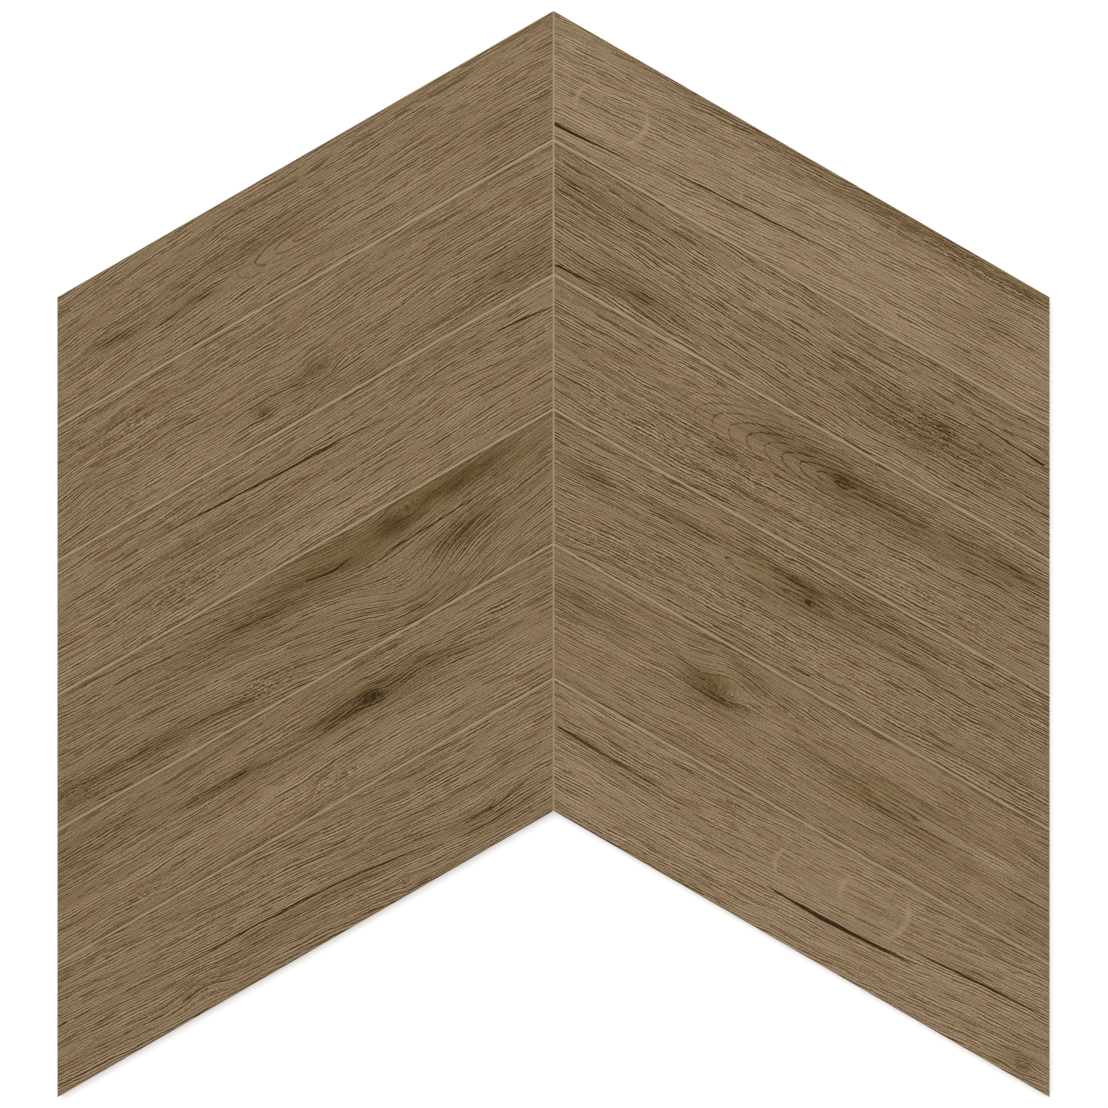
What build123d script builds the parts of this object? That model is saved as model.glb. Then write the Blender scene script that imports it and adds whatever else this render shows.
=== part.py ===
"""Chevron porcelain tile: one fired body with a wood-look face.

The tile lies on its back. X runs across it, Y towards its point, Z up through its thickness.
The origin is on the bed plane, in the middle of the tile's overall length and width.
"""
from build123d import *
import os
from math import cos, floor, radians, sin, tan

# Driving dimensions, in millimetres and degrees.
TILE_WIDTH = 600.0           # between the two upright sides, the slab's own pressed edges
THICKNESS = 9.0              # bed plane to face
PLANK_ANGLE = 30.0           # rise of the planks towards the middle line
PLANKS_PER_SIDE = 6
PLANK_WIDTH = 68.5           # one plank of the face, measured across its grain
POINT_PLANK_WIDTH = 66.5     # the plank at the point, which the tile's upper edge trims
JOINT_WIDTH = 2.0            # mouth of the false joint between two planks
CENTRE_JOINT_WIDTH = 1.2     # mouth of the false joint down the middle line
JOINT_DEPTH = 0.5            # both kinds of false joint, at the bottom of the hollow
EDGE_ARRIS = 0.6             # bevel ground along the face's outer edges
KEY_PITCH = 20.0             # spacing of the keying channels in the back
KEY_WIDTH = 8.0              # one keying channel
KEY_DEPTH = 0.6
KEY_CORNER = 0.25            # round at the floor of a keying channel

# Sizes that follow from them.
SLOPE = radians(PLANK_ANGLE)
RISE = TILE_WIDTH / 2 * tan(SLOPE)
FIELD = POINT_PLANK_WIDTH + (PLANKS_PER_SIDE - 1) * (PLANK_WIDTH + JOINT_WIDTH)
SIDE_LENGTH = FIELD / cos(SLOPE)
TILE_LENGTH = SIDE_LENGTH + RISE
POINT_Y = TILE_LENGTH / 2
PAST_EDGE = TILE_LENGTH      # how far a cutter reaches, so that it runs out of every edge


def chevron_blank():
    """The plain chevron slab with the arris ground round its face."""
    shoulder_y = POINT_Y - RISE
    foot_y = -TILE_LENGTH / 2
    half_width = TILE_WIDTH / 2
    outline = Polyline(
        (0, POINT_Y),
        (half_width, shoulder_y),
        (half_width, foot_y),
        (0, foot_y + RISE),
        (-half_width, foot_y),
        (-half_width, shoulder_y),
        close=True,
    )
    slab = extrude(make_face(outline), THICKNESS)
    return chamfer(slab.faces().sort_by(Axis.Z)[-1].edges(), EDGE_ARRIS)


def hollow(width):
    """Section of a false joint: a shallow round hollow, open above the face."""
    floor_arc = ThreePointArc((-width / 2, 0), (0, -JOINT_DEPTH), (width / 2, 0))
    mouth = Polyline((width / 2, 0), (width / 2, THICKNESS), (-width / 2, THICKNESS), (-width / 2, 0))
    return make_face([floor_arc, mouth])


def false_joint(middle_y):
    """Cutter for one chevron joint, mitred where its two runs meet on the middle line."""
    run = Plane(
        origin=(0, middle_y, THICKNESS),
        x_dir=(sin(SLOPE), cos(SLOPE), 0),
        z_dir=(cos(SLOPE), -sin(SLOPE), 0),
    )
    both_ways = extrude(run * hollow(JOINT_WIDTH), PAST_EDGE, both=True)
    right_run = split(both_ways, bisect_by=Plane.YZ, keep=Keep.TOP)
    return [right_run, mirror(right_run, about=Plane.YZ)]


def joint_middles():
    """Where the chevron joints cross the middle line, from the point down."""
    first = POINT_Y - (POINT_PLANK_WIDTH + JOINT_WIDTH / 2) / cos(SLOPE)
    pitch = (PLANK_WIDTH + JOINT_WIDTH) / cos(SLOPE)
    return [first - number * pitch for number in range(PLANKS_PER_SIDE - 1)]


def centre_joint():
    """Cutter for the thin joint down the middle line."""
    along = Plane(origin=(0, 0, THICKNESS), x_dir=(1, 0, 0), z_dir=(0, -1, 0))
    return extrude(along * hollow(CENTRE_JOINT_WIDTH), PAST_EDGE, both=True)


def keying_channels():
    """Cutters for the channels in the back, as many as fit between the upright sides with a land each side."""
    pairs = floor((TILE_WIDTH / 2 - KEY_WIDTH) / KEY_PITCH)
    channel = Plane.XZ * Pos(0, KEY_DEPTH / 2) * Rectangle(KEY_WIDTH, KEY_DEPTH)
    bar = extrude(channel, PAST_EDGE, both=True)
    bar = fillet(bar.edges().filter_by(Axis.Y).group_by(Axis.Z)[-1], KEY_CORNER)
    return [place * bar for place in GridLocations(KEY_PITCH, 1, 2 * pairs, 1)]


def chevron_tile():
    """The whole fired body."""
    cutters = [cutter for middle_y in joint_middles() for cutter in false_joint(middle_y)]
    cutters.append(centre_joint())
    cutters.extend(keying_channels())
    return chevron_blank() - cutters


os.makedirs("parts", exist_ok=True)
export_step(chevron_tile(), "parts/chevron_tile.step")
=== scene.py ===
"""Wood-look chevron porcelain tile: the fired body, its printed face and the studio round it.

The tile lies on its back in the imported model's frame, X across it, Y towards its point and Z up.
Lengths of the body are in metres. The print is laid out plank by plank in millimetres: along runs
outward from the middle line with the grain, across runs down from the plank's upper edge.
"""

import logging
import math
from collections.abc import Iterable
from dataclasses import dataclass
from enum import Enum
from typing import Callable, Union

import bmesh
import bpy
import numpy as np
from mathutils import Euler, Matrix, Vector

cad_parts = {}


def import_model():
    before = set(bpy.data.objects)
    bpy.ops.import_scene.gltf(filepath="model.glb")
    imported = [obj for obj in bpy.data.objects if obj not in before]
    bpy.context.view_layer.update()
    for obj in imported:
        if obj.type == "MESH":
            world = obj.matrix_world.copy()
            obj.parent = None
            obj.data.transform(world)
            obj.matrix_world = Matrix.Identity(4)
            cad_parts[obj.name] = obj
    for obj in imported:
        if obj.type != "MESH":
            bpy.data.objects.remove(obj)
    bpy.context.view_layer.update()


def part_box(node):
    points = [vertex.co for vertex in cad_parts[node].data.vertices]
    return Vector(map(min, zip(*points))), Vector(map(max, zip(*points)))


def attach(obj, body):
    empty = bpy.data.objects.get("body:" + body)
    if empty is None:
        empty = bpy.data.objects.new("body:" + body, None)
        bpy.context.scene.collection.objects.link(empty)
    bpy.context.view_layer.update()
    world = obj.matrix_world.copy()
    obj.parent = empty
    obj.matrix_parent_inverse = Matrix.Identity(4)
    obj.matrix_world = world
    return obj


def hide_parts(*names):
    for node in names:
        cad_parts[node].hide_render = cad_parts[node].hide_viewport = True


LOG = logging.getLogger("chevron_tile")
MM = 0.001
NODE = "chevron_tile"
PHOTO_PIXELS = 1108.0
TILE_PIXELS = 992.5          # the tile's width in the photograph
FAR_AWAY = 50.0              # millimetres, a distance that no mark reaches
WHITE = (1.0, 1.0, 1.0, 1.0)

Array = np.ndarray
Shape = bmesh.types.BMesh
Socket = bpy.types.NodeSocket
Tree = bpy.types.NodeTree
Feed = Union[float, Socket]
Number = Union[int, Array]
Length = Union[float, Array]


class Side(Enum):
    """The half of the chevron that a plank belongs to."""

    LEFT = -1
    RIGHT = 1


class Taper(Enum):
    """How a crack's width dies away towards its ends."""

    BOTH_ENDS = "both ends"
    OUTER_END = "outer end"
    INNER_END = "inner end"


class Opens(Enum):
    """Which way the arches of a heart figure open."""

    OUTWARD = 1
    INWARD = -1


class Finish(Enum):
    """Material slots of the tile, in order."""

    WOOD_GLAZE = 0
    JOINT_GLAZE = 1
    FIRED_BODY = 2


@dataclass(frozen=True)
class Shade:
    """A colour as seen on a screen, each channel from 0 to 255."""

    red: float
    green: float
    blue: float

    def linear(self) -> tuple[float, float, float, float]:
        """Returns the colour as linear RGBA."""
        channels = (self.red, self.green, self.blue)
        return (*(self._to_linear(value / 255.0) for value in channels), 1.0)

    @staticmethod
    def _to_linear(value: float) -> float:
        """Returns one screen channel, from 0 to 1, in linear light."""
        return value / 12.92 if value <= 0.04045 else ((value + 0.055) / 1.055) ** 2.4


ShadeStops = tuple[tuple[float, Shade], ...]


def of_kind(parts: Iterable[object], kind: type) -> list:
    """Returns those parts of a bmesh that are of one kind."""
    return [part for part in parts if isinstance(part, kind)]


def read_vectors(items: Iterable[object], name: str) -> Array:
    """Reads a vector of every vertex or face of a mesh.

    Args:
        items: The mesh's vertices or faces.
        name: The vector's name.

    Returns:
        One row of three values for each item.
    """
    flat = np.empty(len(items) * 3)
    items.foreach_get(name, flat)
    return flat.reshape(-1, 3)


def place_mesh(name: str, shape: Shape) -> bpy.types.Object:
    """Makes a finished bmesh an object of the scene.

    Args:
        name: The name of the object and of its mesh.
        shape: The bmesh, which is freed.

    Returns:
        The object, at the origin.
    """
    mesh = bpy.data.meshes.new(name)
    shape.to_mesh(mesh)
    shape.free()
    made = bpy.data.objects.new(name, mesh)
    bpy.context.scene.collection.objects.link(made)
    return made


# The printed planks

@dataclass(frozen=True)
class Places:
    """Places on a plank: distances along and across its grain, in millimetres."""

    along: Array
    across: Array

    @classmethod
    def single(cls, along: float, across: float) -> "Places":
        """Returns one place."""
        return cls(np.array([float(along)]), np.array([float(across)]))

    def moved(self, along: float, across: float) -> "Places":
        """Returns the places a step further along and across."""
        return Places(self.along + along, self.across + across)


@dataclass(frozen=True)
class Patch:
    """A soft oval patch drawn out along the grain, strongest in its middle.

    As a stain it darkens, or lightens where its strength is below zero. As a bend it is how far, in
    millimetres, the grain swings aside.
    """

    along: float
    across: float
    length: float
    width: float
    strength: float
    lean: float = 0.0

    def at(self, places: Places) -> Array:
        """Gives the patch's strength.

        Args:
            places: Where on the plank.

        Returns:
            The strength at each place.
        """
        ahead = places.along - self.along
        run = ahead / self.length
        off = (places.across - self.across - self.lean * ahead) / self.width
        return self.strength * np.exp(-run**2 - off**2)


def total(patches: tuple[Patch, ...], places: Places) -> Array:
    """Returns the strengths of all the patches together at each place."""
    return sum((patch.at(places) for patch in patches), np.zeros_like(places.along))


@dataclass(frozen=True)
class Eye:
    """A small round knot that the grain parts around."""

    along: float
    across: float
    radius: float
    dark: float = 1.0
    stretch: float = 2.6
    girth: float = 1.5

    def part(self, places: Places) -> Array:
        """Gives the share of the offset from the knot that the grain keeps.

        Args:
            places: Where on the plank.

        Returns:
            0 at the knot's middle and 1 far from it.
        """
        run = (places.along - self.along) / (self.radius * self.stretch)
        off = (places.across - self.across) / (self.radius * self.girth)
        return 1.0 - np.exp(-run**2 - off**2)


@dataclass(frozen=True)
class Heart:
    """Nested arches where the plank was sawn through the middle of the trunk."""

    along: float
    across: float
    climb: float
    reach: float
    spread: float = 50.0
    opens: Opens = Opens.OUTWARD

    def rings(self, along: Array, off: Array) -> Array:
        """Gives the ring coordinate, which is constant on each arch.

        Args:
            along: Distances along the grain.
            off: Distances across the grain from the line through the heart's middle.

        Returns:
            The ring coordinate at each place.
        """
        ahead = np.maximum(0.0, (self.along - along) * self.opens.value)
        return np.sqrt(off**2 + (ahead * self.climb) ** 2)

    def strength(self, places: Places) -> Array:
        """Gives how plainly the arches show.

        Args:
            places: Where on the plank.

        Returns:
            From 0, not at all, to 1.
        """
        ahead = (self.along - places.along) * self.opens.value
        past = np.maximum(ahead - self.spread, 0.0) / (0.5 * self.spread)
        behind = np.minimum(ahead, 0.0) / (0.5 * self.spread)
        off = (places.across - self.across) / self.reach
        return np.exp(-(past**2) - behind**2 - off**2)


@dataclass(frozen=True)
class Crack:
    """A dark split along the grain, through the given places."""

    route: tuple[tuple[float, float], ...]
    half_width: float
    taper: Taper = Taper.BOTH_ENDS
    strength: float = 1.0

    REACH = 4.0              # how far off the glaze still knows of the crack
    SLIM = 0.8               # the power by which the ends grow slimmer

    def offset(self, places: Places) -> Array:
        """Returns the signed distance across the grain from the crack's middle."""
        stops, levels = zip(*self.route)
        return places.across - np.interp(places.along, stops, levels)

    def width(self, places: Places) -> Array:
        """Gives the crack's half width.

        Args:
            places: Where on the plank.

        Returns:
            The half width at each place, below zero past the crack's ends.
        """
        start, stop = self.route[0][0], self.route[-1][0]
        share = (places.along - start) / (stop - start)
        inside = (share >= 0.0) & (share <= 1.0)
        share = np.clip(share, 0.0, 1.0)
        fade = {
            Taper.BOTH_ENDS: np.sin(np.pi * share),
            Taper.OUTER_END: 1.0 - share,
            Taper.INNER_END: share,
        }[self.taper]
        return np.where(inside, self.half_width * fade**self.SLIM, -FAR_AWAY)


@dataclass(frozen=True)
class Fleck:
    """A short curved mark across the grain: a pale ray, or a dark tick where its strength is below zero."""

    along: float
    across: float
    half_height: float
    half_width: float
    bow: float
    strength: float = 1.0

    REACH = 8.0              # how far off the glaze still knows of the mark

    def offset(self, places: Places) -> Array:
        """Returns the signed distance along the grain from the mark's middle."""
        share = (places.across - self.across) / self.half_height
        return places.along - self.along - self.bow * share**2

    def width(self, places: Places) -> Array:
        """Gives the mark's half width.

        Args:
            places: Where on the plank.

        Returns:
            The half width at each place, below zero past the mark's ends.
        """
        share = np.abs(places.across - self.across) / self.half_height
        fade = np.sqrt(np.clip(1.0 - share**2, 0.0, 1.0))
        return np.where(share < 1.0, self.half_width * fade, -FAR_AWAY)


@dataclass(frozen=True)
class Plank:
    """One plank of the printed face with its own figure."""

    side: Side
    place: int
    course: tuple[tuple[float, float], ...]
    tone: float = 0.0
    bite: float = 1.0
    streaks: tuple[Patch, ...] = ()
    mottles: tuple[Patch, ...] = ()
    calms: tuple[Patch, ...] = ()
    bends: tuple[Patch, ...] = ()
    eyes: tuple[Eye, ...] = ()
    cracks: tuple[Crack, ...] = ()
    flecks: tuple[Fleck, ...] = ()
    heart: Union[Heart, None] = None

    FIELDS = ("grain", "tint", "figure", "crack", "fleck")
    SEED_STEP = 1000.0       # millimetres between one plank's noise and the next one's
    COURSE_EASE = 28.0       # millimetres over which a turn of the course is eased
    COURSE_TAPS = 9
    SLOPE_STEP = 0.5         # millimetres

    @property
    def seed(self) -> int:
        """Returns a number that no other plank has."""
        return 2 * self.place + (self.side is Side.RIGHT)

    def fields(self, places: Places) -> dict[str, Array]:
        """Works out what the glaze needs to know of this plank.

        Args:
            places: Where on the plank.

        Returns:
            The fields by name, each with three values for every place.
        """
        seeded = places.along + self.seed * self.SEED_STEP
        stain = total(self.streaks, places) + self.tone
        bite = self.bite * np.clip(1.0 - total(self.calms, places), 0.0, None)
        plain = np.zeros_like(places.along) if self.heart is None else self.heart.strength(places)
        steep = self._slope(self._level, places)
        arch_slope = self._slope(self._arch, places)
        columns = (
            (seeded, self._level(places), self._arch(places)),
            (stain, total(self.mottles, places), bite),
            (steep, plain, arch_slope),
            self._nearest(self.cracks, places),
            self._nearest(self.flecks, places),
        )
        return {name: np.stack(values, axis=1) for name, values in zip(self.FIELDS, columns)}

    def _slope(self, field: Callable[[Places], Array], places: Places) -> Array:
        """Gives how steeply a field of the plank changes.

        Args:
            field: What gives the field's values.
            places: Where on the plank.

        Returns:
            The change for each millimetre.
        """
        step = self.SLOPE_STEP
        run = field(places.moved(step, 0.0)) - field(places.moved(-step, 0.0))
        off = field(places.moved(0.0, step)) - field(places.moved(0.0, -step))
        return np.sqrt(run**2 + off**2) / (2.0 * step)

    def _straight(self, places: Places) -> Array:
        """Gives how far across the plank each place lies, measured from a line of its own grain.

        Args:
            places: Where on the plank.

        Returns:
            The distance in millimetres, the same all along one line of the grain.
        """
        stops, levels = zip(*self.course)
        taps = np.linspace(-self.COURSE_EASE, self.COURSE_EASE, self.COURSE_TAPS)
        drift = sum(np.interp(places.along + tap, stops, levels) for tap in taps) / self.COURSE_TAPS
        return places.across - drift + total(self.bends, places)

    def _level(self, places: Places) -> Array:
        """Gives the same distance with the grain parted round the knots.

        Args:
            places: Where on the plank.

        Returns:
            The distance in millimetres.
        """
        level = self._straight(places)
        for eye in self.eyes:
            middle = self._straight(Places.single(eye.along, eye.across))
            level = middle + (level - middle) * eye.part(places)
        return level

    def _arch(self, places: Places) -> Array:
        """Gives the ring coordinate of the heart's arches.

        Args:
            places: Where on the plank.

        Returns:
            The coordinate in millimetres, or zero where the plank has no heart.
        """
        if self.heart is None:
            return np.zeros_like(places.along)
        middle = self._straight(Places.single(self.heart.along, self.heart.across))
        return self.heart.rings(places.along, self._straight(places) - middle)

    @staticmethod
    def _nearest(marks: tuple[Union[Crack, Fleck], ...], places: Places) -> tuple[Array, Array, Array]:
        """Finds the mark near each place, the later one where there are two.

        Args:
            marks: Cracks or cross marks.
            places: Where on the plank.

        Returns:
            The mark's offset, half width and strength at each place.
        """
        offset = np.full_like(places.along, FAR_AWAY)
        width = np.full_like(places.along, -FAR_AWAY)
        strength = np.zeros_like(places.along)
        for mark in marks:
            own_offset = mark.offset(places)
            own_width = mark.width(places)
            near = (np.abs(own_offset) < mark.REACH) & (own_width > -FAR_AWAY)
            offset = np.where(near, own_offset, offset)
            width = np.where(near, own_width, width)
            strength = np.where(near, mark.strength, strength)
        return offset, width, strength


PLANKS = (
    Plank(
        Side.LEFT, 0, bite=0.9,
        course=((0, 0), (95, 0.5), (145, 2.5), (240, 4), (290, 7.5), (390, 16)),
        heart=Heart(200, 42, climb=0.2, reach=8, spread=30, opens=Opens.INWARD),
        streaks=(
            Patch(67, 45, 14, 2.2, 0.35),
            Patch(272, 43.7, 10, 2.2, 0.9),
            Patch(292, 45.5, 9, 2, 0.6),
            Patch(328, 40, 16, 2.6, 0.8),
            Patch(200, 42.5, 30, 4, -0.25),
            Patch(250, 30, 60, 9, 0.2),
        ),
    ),
    Plank(
        Side.LEFT, 1, bite=0.95,
        course=((0, 0), (95, 0.5), (240, 9), (290, 7.5), (390, 14)),
        bends=(Patch(203, 44, 20, 12, -3), Patch(345, 42, 20, 14, 4)),
        eyes=(Eye(234, 55, 1.8, 0.8), Eye(190.5, 47.6, 4, 0.12)),
        streaks=(
            Patch(54, 54, 28, 9, 0.5),
            Patch(196, 48, 16, 4, 0.5),
            Patch(234, 55, 8, 3, 0.8),
            Patch(120, 60, 70, 8, 0.2),
        ),
        mottles=(Patch(313, 20, 36, 14, 0.6), Patch(330, 55, 25, 8, 0.5)),
    ),
    Plank(
        Side.LEFT, 2, bite=0.95,
        course=((0, 0), (50, 0), (145, 4), (240, 6.5), (390, 10.5)),
        bends=(Patch(90, 22, 26, 14, 3),),
        cracks=(
            Crack(((9, 15.7), (28, 13.4), (49, 11.2)), 0.55),
            Crack(
                ((130, 23.5), (161, 21.3), (190, 21.3), (230, 19.4), (269, 17.5), (295, 16.8)),
                0.52,
            ),
            Crack(((297, 17), (347, 20)), 0.3, Taper.OUTER_END, 0.7),
        ),
        flecks=(Fleck(163.4, 57, 3, 0.5, 0.8, -1),),
        streaks=(Patch(180, 62, 90, 6, -0.15), Patch(250, 33, 60, 7, 0.2)),
        mottles=(Patch(285, 52, 45, 10, 0.8),),
    ),
    Plank(
        Side.LEFT, 3, tone=0.11, bite=0.88,
        course=((0, -6), (50, 0), (135, 13), (200, 5), (290, -4), (390, -6)),
        calms=(Patch(80, 8, 60, 10, 0.65), Patch(165, 12, 45, 12, 0.5)),
        bends=(Patch(126, 52, 36, 18, -11),),
        eyes=(Eye(106, 7, 4, 0.25),),
        cracks=(
            Crack(((40, 20), (90, 22.4), (121, 23.5), (154.5, 28)), 0.35),
            Crack(((151, 16), (164.6, 17.5), (183.5, 14)), 0.5),
        ),
        streaks=(
            Patch(78, 9, 34, 7, 0.7),
            Patch(119, 12, 12, 6, 0.7),
            Patch(88, 35, 24, 9, 0.6),
            Patch(45, 8, 36, 9, 0.4),
            Patch(160, 12, 44, 12, 0.55),
            Patch(225, 20, 40, 9, 0.5),
            Patch(314, 54.5, 28, 4.5, 0.68),
            Patch(362, 55, 14, 6, 0.4),
            Patch(270, 58, 30, 3, 0.3),
        ),
        mottles=(Patch(236, 57, 24, 7, 1.2), Patch(362, 55, 16, 8, 1)),
    ),
    Plank(
        Side.LEFT, 4, tone=0.08, bite=0.88,
        course=((0, 2.5), (50, 0), (140, -3.5), (240, -0.5), (390, 0)),
        bends=(Patch(100, 24, 22, 9, 2), Patch(175, 22, 22, 9, -2)),
        eyes=(Eye(140, 24.6, 3.4, 1),),
        streaks=(
            Patch(128, 24.5, 46, 6.5, 0.75),
            Patch(140, 24.6, 10, 5, 0.6),
            Patch(162, 24, 20, 5, 0.6),
            Patch(245, 25.5, 28, 3, 0.8),
            Patch(22, 24.6, 8, 2.6, 0.5),
            Patch(180, 54, 150, 12, -0.16),
            Patch(327, 18, 36, 10, 0.34),
        ),
        mottles=(Patch(190, 56, 26, 7, 1), Patch(313, 60, 24, 6, 0.9)),
    ),
    Plank(
        Side.LEFT, 5, tone=0.05,
        course=((0, 0), (95, 0.5), (190, -9), (290, -14), (390, -20)),
        bends=(Patch(277, 56, 16, 8, 4), Patch(80, 47, 22, 8, -3)),
        eyes=(Eye(139, 60.5, 2.4, 0.5),),
        cracks=(
            Crack(
                ((105, 53.7), (134, 46), (161, 42), (190, 40), (235, 38),
                 (264, 38.5), (287, 37), (307, 34.7)),
                0.42,
            ),
            Crack(((40, 43.7), (67, 48), (94, 48)), 0.4, strength=0.8),
        ),
        flecks=(Fleck(164, 9, 2.6, 0.5, 0.8, -1),),
        streaks=(Patch(180, 46, 80, 6, 0.25), Patch(70, 50, 30, 6, 0.25)),
        mottles=(Patch(277, 56, 22, 8, 0.8),),
    ),
    Plank(
        Side.RIGHT, 0, tone=-0.27, bite=0.9,
        course=((0, 0), (240, -17), (390, -21)),
        cracks=(
            Crack(((34, 59.2), (60, 57.5), (88, 55)), 1.15, Taper.OUTER_END),
            Crack(((98.5, 49.3), (170, 45), (227, 41.4)), 0.55),
        ),
        flecks=(Fleck(38, 36, 8, 1.5, 3), Fleck(84, 36, 12, 1.9, -5), Fleck(154, 40, 4, 1, 2)),
        streaks=(
            Patch(280, 4, 110, 8, 0.6),
            Patch(110, 2, 90, 6, 0.3),
            Patch(325, 32, 24, 16, 0.3),
            Patch(325, 58, 22, 4, 0.4),
        ),
        mottles=(Patch(300, 6, 60, 8, 0.7), Patch(150, 8, 30, 6, 0.6)),
    ),
    Plank(
        Side.RIGHT, 1, bite=1.15,
        course=((0, 0), (50, 2), (240, 9.5), (390, 6)),
        cracks=(
            Crack(((298, 18.6), (330, 20.2), (358, 21.7)), 0.6, Taper.INNER_END),
            Crack(((37, 63.8), (60, 63), (83, 61.6)), 0.75, Taper.OUTER_END),
            Crack(((83, 61.4), (125, 65)), 0.4, strength=0.8),
        ),
        streaks=(
            Patch(83, 55, 34, 7, 0.6),
            Patch(42, 18, 34, 8, 0.4),
            Patch(288, 39, 50, 14, 0.55),
            Patch(160, 14, 50, 10, -0.2),
        ),
        mottles=(Patch(284, 38, 44, 13, 0.8),),
        calms=(Patch(150, 30, 56, 18, -0.22),),
        flecks=(Fleck(292, 58, 7, 1.2, -3, 0.6), Fleck(262, 55, 6, 1, -2, 0.5)),
    ),
    Plank(
        Side.RIGHT, 2, bite=1.1,
        course=((0, 0), (95, 0), (190, -4), (290, -11), (390, -14)),
        heart=Heart(215, 22, climb=0.22, reach=13, spread=75),
        eyes=(Eye(215, 21.3, 2.2, 0.3),),
        streaks=(
            Patch(215, 21, 12, 4, 0.45),
            Patch(200, 17, 50, 11, 0.3),
            Patch(286, 22, 60, 12, 0.4),
            Patch(333, 15.7, 18, 3, 0.6),
            Patch(145, 40, 10, 4, 0.45),
            Patch(165, 14, 14, 5, 0.3),
            Patch(110, 14, 40, 10, -0.2),
        ),
        mottles=(Patch(140, 48, 110, 20, 0.6), Patch(300, 58, 60, 8, 0.5)),
    ),
    Plank(
        Side.RIGHT, 3, tone=0.05, bite=1.12,
        course=((0, 0), (95, -7), (240, -11), (390, -16)),
        heart=Heart(190, 23.5, climb=0.07, reach=9),
        eyes=(Eye(191.4, 23.5, 2.6, 1),),
        streaks=(
            Patch(180, 15.7, 14, 2.6, 0.55),
            Patch(192, 22, 34, 7, 0.35),
            Patch(103, 20, 26, 4, 0.3),
            Patch(230, 10, 34, 7, 0.55),
            Patch(263, 23.5, 22, 2.2, 0.5),
            Patch(319, 33.6, 16, 2, 0.55),
            Patch(35, 24, 18, 5, 0.36),
            Patch(75, 25, 12, 2.2, -0.3),
            Patch(180, 48, 140, 10, -0.12),
        ),
        mottles=(Patch(57, 60, 24, 6, 0.5), Patch(190, 48, 160, 14, 0.5)),
    ),
    Plank(
        Side.RIGHT, 4, bite=0.78,
        course=((0, 0), (145, -7), (195, -5.5), (390, -7.5)),
        heart=Heart(250, 34, climb=0.05, reach=10, opens=Opens.INWARD),
        bends=(Patch(134, 12, 18, 9, 4), Patch(120, 26, 14, 8, -3)),
        eyes=(Eye(165.7, 20, 2.6, 0.35), Eye(132, 22, 4.5, 0.2)),
        streaks=(
            Patch(120, 24, 15, 6, 0.8),
            Patch(135, 31, 16, 4, 0.6),
            Patch(150, 13, 14, 5, 0.35),
            Patch(210, 31.5, 30, 2.2, 0.55, 0.06),
            Patch(30, 22, 30, 11, 0.34),
            Patch(167, 29, 12, 3, -0.45),
            Patch(325, 33, 20, 5, -0.3),
            Patch(255, 40, 40, 2, 0.4),
        ),
        mottles=(Patch(135, 26, 24, 9, 1),),
    ),
    Plank(
        Side.RIGHT, 5, tone=-0.16, bite=0.98,
        course=((0, 0), (95, 0), (240, -8), (390, -21)),
        eyes=(Eye(362.7, 60.5, 3, 0.6),),
        cracks=(
            Crack(((14.5, 23), (67, 24), (98, 25.2)), 0.6, Taper.OUTER_END),
            Crack(((172, 43), (190, 43.6), (212.7, 43.7), (235, 42.5), (276, 40.3)), 1.15),
            Crack(((268, 33.3), (313.5, 30.2), (362, 27)), 0.6),
        ),
        flecks=(
            Fleck(170, 25, 8, 1.5, 4),
            Fleck(213, 20, 8, 1.5, 3),
            Fleck(258, 22, 13, 1.9, -5),
            Fleck(330, 24, 7, 1, -2, 0.5),
        ),
        streaks=(
            Patch(60, 25, 46, 4, 0.35),
            Patch(362, 60, 12, 7, 0.45),
            Patch(100, 12, 90, 12, 0.12),
        ),
        mottles=(Patch(132, 20, 14, 16, 0.6), Patch(70, 64, 60, 4, 0.6)),
        calms=(Patch(215, 24, 60, 16, 0.5),),
    ),
)


# The fired body

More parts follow.
